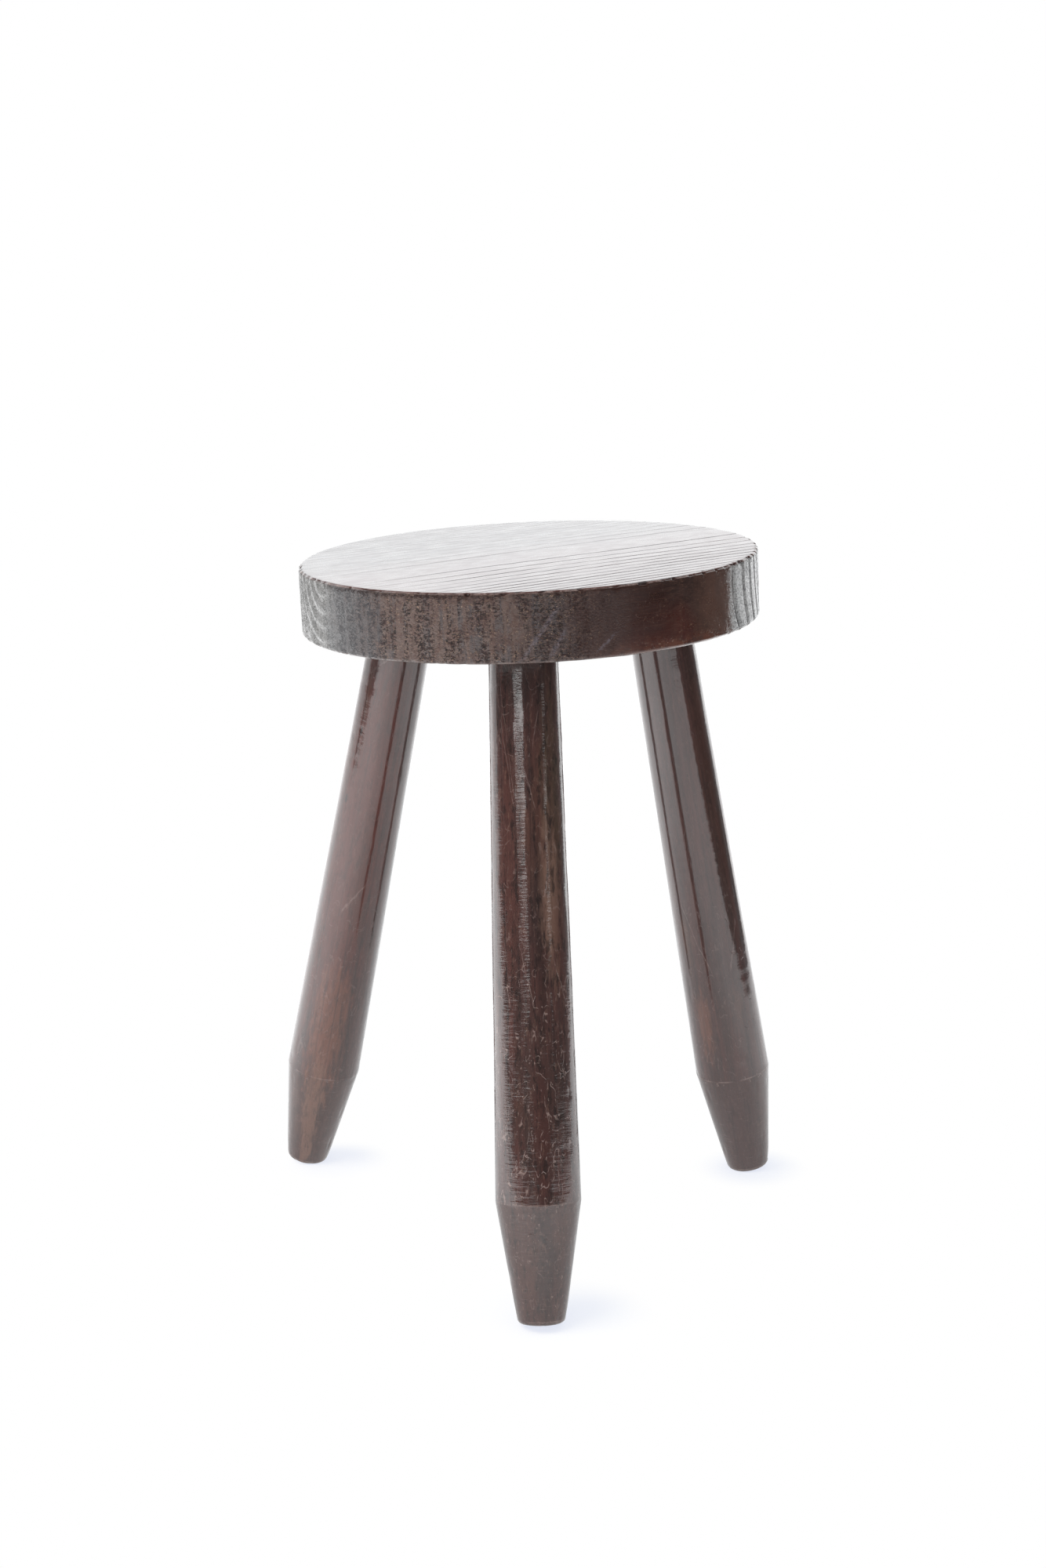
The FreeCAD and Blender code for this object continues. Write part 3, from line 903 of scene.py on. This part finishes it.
def leg_material(which, leg, legs, seat):
    """Glossy varnish over dark turned wood, with straight growth lines, duller towards the foot."""
    wood = Finish("Leg varnish " + which, leg_frames(leg, seat)[0], WOOD_SEEDS[which])
    x, y, z = wood.x, wood.y, wood.z
    long = legs.length / MM
    knee_at = legs.knee_height / MM - long
    # The front leg bears more marks than the others: mottling, ticks, curved scratches, ridges.
    mottling, ticks, curls, ridges = (1.0, 1.0, 0.7, 2.4) if which == "front" else (0.5, 0.15, 0.2, 0.5)
    warp = (wood.noise((30, 30, 160), 2, 0.5) - 0.5) * 4.0
    ring = x * math.cos(leg.ring_turn) + y * math.sin(leg.ring_turn) + warp - leg.ring_start / MM
    phase = (ring / (legs.ring_width / MM)).fraction()
    line = phase.rise(0.80, 0.97) * phase.fall(0.97, 1.0)
    line = line * wood.noise((9, 9, 120), 2, 0.5, shift=1).rise(0.35, 0.6)
    fibre = wood.noise((0.8, 0.8, 28), 4, 0.6, shift=2)
    streak = wood.noise((5, 5, 130), 3, 0.55, shift=3)
    blotch = wood.noise((16, 16, 60), 3, 0.5, shift=4)
    turn = wood.degrees(x, y)
    ragged = (wood.noise((3, 3, 16), shift=7) - 0.5) * 2.4
    low = 1.0 - z.rise(knee_at - 4, knee_at + 8)
    skin = wood.mix(streak.rise(0.3, 0.7), legs.wood, legs.red)
    skin = wood.stain(skin, (fibre.rise(0.35, 0.75) * 0.45, 52, 34, 30))
    skin = wood.mix(low * 0.75, skin, legs.foot_wood)
    skin = wood.stain(skin, (blotch.rise(0.55, 0.75) * 0.3, 118, 78, 60))
    for place, reach, height, rise, shade, strength in PATCHES[which]:
        skin = wood.stain(skin, (wood.spot(turn, place, reach, height, rise, ragged) * strength, *shade))
    # Dark and pale mottling, and the lines of the years.
    dark = wood.noise((3.5, 3.5, 12), 4, 0.7, shift=13).rise(0.50, 0.66)
    pale = wood.noise((2.2, 2.2, 7), 4, 0.7, shift=14).rise(0.54, 0.70)
    skin = wood.stain(skin, (dark * (0.7 * mottling), 36, 23, 20), (pale * (0.45 * mottling), 132, 100, 86))
    skin = wood.mix(line * 0.4, skin, legs.line)
    # Rubs across the leg on its foot, ticks above the knee, nicks and bare wood along the arrises.
    across = wood.noise((9, 9, 0.9), 4, 0.7, shift=8).rise(0.58, 0.74) * low * 0.25
    tick = wood.noise((1.6, 1.6, 3.0), shift=9).rise(0.65, 0.72)
    tick = tick * (z.fall(knee_at + 60, knee_at + 135) * 0.6) * ticks
    nick = wood.noise((2.2, 2.2, 3.6), 3, 0.7, shift=5).rise(0.60, 0.70)
    rubbed = z.line(knee_at, 5.0) + z.line(1.0 - long, 3.0) + low * 0.05
    arris = z.line(knee_at + 0.5, 0.9) + z.line(2.5 - long, 0.9)
    arris = arris * wood.noise((7, 7, 7), shift=11).rise(0.35, 0.65)
    bared = nick * rubbed * 0.8 + arris * 0.5 + across + tick
    wobble = (wood.noise((6, 6, 18), 2, 0.6, shift=12) - 0.5) * 14.0
    for turn_1, height_1, turn_2, height_2 in SCRATCHES[which]:
        slope = (height_2 - height_1) / (turn_2 - turn_1)
        course = z + wobble - (turn * slope + (height_1 - turn_1 * slope))
        scratch = course.line(0.0, 2.2) * turn.rise(turn_1, turn_1 + 4) * turn.fall(turn_2 - 4, turn_2)
        bared = bared + scratch * fibre.rise(0.3, 0.6) * 0.4
    curved = wood.noise((9, 9, 15), 2, 0.5, 0.6, 15).line(0.5, 0.02)
    curved = curved * wood.noise((5, 5, 6), shift=16).rise(0.46, 0.58)
    curved = curved * z.rise(-220, -190, 1.0, 0.4)
    bared = bared + curved * low.rise(0.0, 1.0, 1.0, 0.3) * curls
    skin = wood.stain(skin, (bared.least(0.9), 172, 146, 138))
    # Inside the seat the tenon is bare.
    bare = z.rise(-5.5, -5.0) * (1.0 - wood.off_axis().rise(15.2, 15.6))
    skin = wood.mix(bare, skin, wood.mix(fibre, legs.bare, linear(160, 124, 86)))
    relief = line * -0.8 + fibre * 0.4 + streak * 0.5 + nick * rubbed * -1.5
    # The varnish lies smoother than the wood, in faint ridges across the leg.
    ridge = wood.noise((14, 14, 1.7), shift=10) * ridges
    ridge = ridge * wood.noise((9, 9, 30), 2, 0.5, shift=17).rise(0.35, 0.6, 0.15, 1.0)
    film = fibre * 0.12 + streak * 0.4 + ridge + tick * -0.5 + across * -0.6 + curved * -0.4
    rough = wood.noise((6, 6, 50), shift=6).rise(0.3, 0.7, 0.34, 0.50) + low * 0.12 + bare * 0.3
    wood.set(Base_Color=skin, Roughness=rough, Normal=wood.bump(relief, 0.10), IOR=1.4)
    wood.set(Coat_Weight=1.0, Coat_Roughness=0.07, Coat_IOR=1.7, Coat_Normal=wood.bump(film, 0.10))
    return wood.material


def wedge_material(which, leg, legs, seat):
    """Bare riven wood."""
    wood = Finish("Bare wood " + which, leg_frames(leg, seat)[1])
    fibre = wood.noise((0.5, 0.5, 9), 4, 0.6)
    streak = wood.noise((3, 3, 40), 2, 0.5, shift=3)
    shade = wood.mix(fibre, legs.bare, linear(158, 120, 82))
    shade = wood.stain(shade, (streak * 0.4, 140, 100, 70))
    wood.set(Base_Color=shade, Roughness=fibre.rise(0.2, 0.8, 0.6, 0.8), Normal=wood.bump(fibre, 0.08), IOR=1.45)
    return wood.material


# Studio --------


def floor_material(glow):
    """White floor that keeps the shadows. Part of its white is its own, and in gloss it ends as the sweep does."""
    material = bpy.data.materials.new("Studio white")
    floor = Nodes(material)
    at = floor.place()
    across, back, _ = floor.parts(at)
    plain = floor.shade("BsdfDiffuse", (0.8, 0.8, 0.8))
    shadowed = floor.shade("BsdfDiffuse", (0.48, 0.42, 0.27))
    glowing = floor.shade("Emission", (glow, glow * 1.07, glow * 1.25), Strength=1.0)
    both = floor.node("AddShader", shadowed, glowing)
    white = floor.shade("Emission", (1.0, 1.0, 1.0), Strength=1.0)
    # The paper is lit so brightly that only the shadows by the feet show on it.
    feet = [mount["pos_m"] for mount in frame["record"]["mounts"] if mount["name"].startswith("foot_")]
    by_foot = [
        floor.vector("DISTANCE", at, (x + 0.012, y, 0.0)) * (1.0 if y < 0 else 1.5) for x, y, _ in feet
    ]
    away = by_foot[0].least(by_foot[1]).least(by_foot[2]).rise(0.022, 0.065)
    # In gloss: the lit paper, brightest on the left and behind, and the dark floor beside it and in front.
    left = across.rise(-1.95, -1.85).most((back + across * 0.67).rise(-1.75, -1.66))
    right = (across + back.least(0.0) * 0.5).fall(0.77, 0.87)
    paper = across.rise(-2.5, -2.3) * left * right * back.rise(-1.8, -1.5)
    border = (across * 0.72 + 0.03).most(0.03) + across.fall(-2.0, -1.0) * 0.3
    border = border + (-3.1 - across).most(0.0) * 0.55
    lit = paper.most((back - border).rise(0.0, 0.1))
    level = floor.vector("LENGTH", at).rise(0.15, 0.5, 0.85, 1.3)
    level = level + across.fall(-0.7, 0.1) * back.rise(-0.2, 0.6, 0.7, 0.4)
    level = level.most(back.rise(0.2, 1.0, 1.0, 2.2) * across.rise(-1.0, 0.5, 0.55, 0.9))
    level = level * across.rise(-4.0, -1.5, 0.65, 1.0)
    gloss = floor.shade("Emission", (0.98, 0.99, 1.0), Strength=lit.rise(0.0, 1.0, 0.05, 1.0) * level)
    seen = floor.pick(floor.ray("Is Glossy Ray"), plain, gloss)
    seen = floor.pick(floor.ray("Is Camera Ray"), seen, floor.pick(away, both, white))
    floor.surface("OutputMaterial", seen)
    return material


def white_world(daylight):
    """Even daylight, seen by the camera as white. Gloss sees the studio darker on the photographer's side."""
    world = bpy.data.worlds.new("Studio")
    bpy.context.scene.world = world
    sky = Nodes(world)
    east, north, _ = sky.parts(sky.place("Generated"))
    backdrop = (north - east * 0.22).rise(0.43, 0.51, 0.07, 1.0)
    gloss = sky.shade("Background", (0.97, 0.985, 1.0), Strength=backdrop)
    even = sky.shade("Background", (0.96, 0.98, 1.0), Strength=daylight)
    white = sky.shade("Background", (1.0, 1.0, 1.0), Strength=1.0)
    seen = sky.pick(sky.ray("Is Camera Ray"), sky.pick(sky.ray("Is Glossy Ray"), even, gloss), white)
    sky.surface("OutputWorld", seen)


# Light cards: azimuth and elevation in degrees, distance, width and height in metres, brightness, tone, and
# the point that each one faces. Azimuth 0 is the camera's side.
ON_STOOL = (0, 0, 0.25)
ON_LEG = (0, -0.1, 0.36)
CARDS = {
    "key": (-60, 48, 2.6, 1.6, 1.6, 3.4, (1.0, 0.985, 0.97), ON_STOOL),
    "back": (180, 9, 4.0, 9.0, 2.4, 0.4, (0.98, 0.99, 1.0), ON_STOOL),
    "strip": (-23, 17.0, 2.2, 1.1, 0.24, 3.6, (0.98, 1.0, 1.0), ON_LEG),
    "strip_foot": (-23, 12.4, 2.2, 1.1, 0.12, 1.1, (1.0, 0.98, 0.96), ON_LEG),
    "slit": (58, 6.2, 2.2, 0.32, 0.16, 1.8, (1.0, 1.0, 1.0), ON_LEG),
}


def card(name, azimuth, elevation, distance, width, height, shine, tone, aim):
    """A soft light card that the camera doesn't see. The key light isn't seen in gloss either."""
    lamp = bpy.data.lights.new(name, "AREA")
    lamp.shape = "RECTANGLE"
    lamp.size = width
    lamp.size_y = height
    lamp.energy = shine * math.pi * width * height
    lamp.color = tone
    thing = bpy.data.objects.new(name, lamp)
    bpy.context.scene.collection.objects.link(thing)
    turn = math.radians(azimuth)
    lift = math.radians(elevation)
    away = Vector((math.sin(turn) * math.cos(lift), -math.cos(turn) * math.cos(lift), math.sin(lift)))
    thing.location = Vector(aim) + away * distance
    thing.rotation_euler = away.to_track_quat("Z", "Y").to_euler()
    thing.visible_camera = False
    thing.visible_glossy = name != "key"


# Operators and panel --------


class STOOL_OT_seat(bpy.types.Operator):
    """Make the round board with its worn arrises and its three blind sockets"""

    bl_idname = "stool.seat"
    bl_label = "Seat"

    def execute(self, context):
        scene = context.scene
        seat = scene.stool_seat
        board = make_seat(seat, (scene.stool_front_leg, scene.stool_left_leg, scene.stool_right_leg))
        finished(board, "round_board", seat_material(seat), "seat_wood", "seat_board")
        return {"FINISHED"}


class STOOL_OT_leg(bpy.types.Operator):
    """Turn one leg, cope it to the seat and wear its foot flat on the floor"""

    bl_idname = "stool.leg"
    bl_label = "Leg"

    which: bpy.props.EnumProperty(
        name="Leg",
        description="Which leg to make",
        items=[(which, which.capitalize(), "The " + which + " leg") for which in LEG_SEEDS],
    )

    def execute(self, context):
        scene = context.scene
        leg = getattr(scene, "stool_" + self.which + "_leg")
        turned = make_leg(self.which, leg, scene.stool_legs, scene.stool_seat)
        material = leg_material(self.which, leg, scene.stool_legs, scene.stool_seat)
        finished(turned, "turned_leg_" + self.which, material, "leg_wood", "leg_" + self.which)
        return {"FINISHED"}


class STOOL_OT_wedges(bpy.types.Operator):
    """Give the three hidden wedges their bare wood"""

    bl_idname = "stool.wedges"
    bl_label = "Wedges"

    def execute(self, context):
        scene = context.scene
        for which in LEG_SEEDS:
            leg = getattr(scene, "stool_" + which + "_leg")
            material = wedge_material(which, leg, scene.stool_legs, scene.stool_seat)
            node = frame["nodes"]["wedge_" + which]
            if not node.material_slots:
                raise RuntimeError("The wedge has no material slot")
            for slot in node.material_slots:
                slot.material = material
        return {"FINISHED"}


class STOOL_OT_studio(bpy.types.Operator):
    """Set the white floor, the soft lights and the camera"""

    bl_idname = "stool.studio"
    bl_label = "Studio"

    def execute(self, context):
        scene = context.scene
        studio = scene.stool_studio
        nothing_selected()
        bpy.ops.mesh.primitive_plane_add(size=studio.floor_size)
        floor = bpy.context.object
        floor.name = "studio_floor"
        floor.data.materials.append(floor_material(studio.floor_glow))
        white_world(studio.daylight)
        for name, values in CARDS.items():
            card(name, *values)
        camera = bpy.data.cameras.new("camera")
        camera.lens = studio.lens
        camera.sensor_fit = "AUTO"
        camera.sensor_width = 36
        thing = bpy.data.objects.new("camera", camera)
        scene.collection.objects.link(thing)
        level = Matrix.Rotation(math.radians(90 - CAMERA_LEAN), 4, "X")
        turned = level @ Matrix.Rotation(math.radians(CAMERA_ROLL), 4, "Z")
        thing.matrix_world = Matrix.Translation(CAMERA_AT) @ turned
        scene.camera = thing
        scene.view_settings.view_transform = "Standard"
        nothing_selected()
        return {"FINISHED"}


class STOOL_PT_panel(bpy.types.Panel):
    bl_label = "Tripod stool"
    bl_idname = "STOOL_PT_panel"
    bl_space_type = "VIEW_3D"
    bl_region_type = "UI"
    bl_category = "Stool"

    def draw(self, context):
        scene = context.scene
        layout = self.layout
        for owner in GROUPS:
            box = layout.box()
            box.label(text=owner.replace("stool_", "").replace("_", " ").capitalize())
            for name in getattr(scene, owner).__annotations__:
                box.prop(getattr(scene, owner), name)
        layout.operator("stool.seat")
        for which in LEG_SEEDS:
            layout.operator("stool.leg", text=which.capitalize() + " leg").which = which
        layout.operator("stool.wedges")
        layout.operator("stool.studio")


GROUPS = {
    "stool_seat": StoolSeat,
    "stool_front_leg": StoolFrontLeg,
    "stool_left_leg": StoolLeftLeg,
    "stool_right_leg": StoolRightLeg,
    "stool_legs": StoolLegs,
    "stool_studio": StoolStudio,
}
CLASSES = (STOOL_OT_seat, STOOL_OT_leg, STOOL_OT_wedges, STOOL_OT_studio, STOOL_PT_panel)


def register():
    for owner, group in GROUPS.items():
        bpy.utils.register_class(group)
        setattr(bpy.types.Scene, owner, bpy.props.PointerProperty(type=group))
    for item in CLASSES:
        bpy.utils.register_class(item)


def unregister():
    for item in reversed(CLASSES):
        bpy.utils.unregister_class(item)
    for owner, group in GROUPS.items():
        delattr(bpy.types.Scene, owner)
        bpy.utils.unregister_class(group)


def main():
    register()
    bpy.ops.stool.seat()
    for which in LEG_SEEDS:
        bpy.ops.stool.leg(which=which)
    bpy.ops.stool.wedges()
    bpy.ops.stool.studio()


if __name__ == "__main__":
    main()
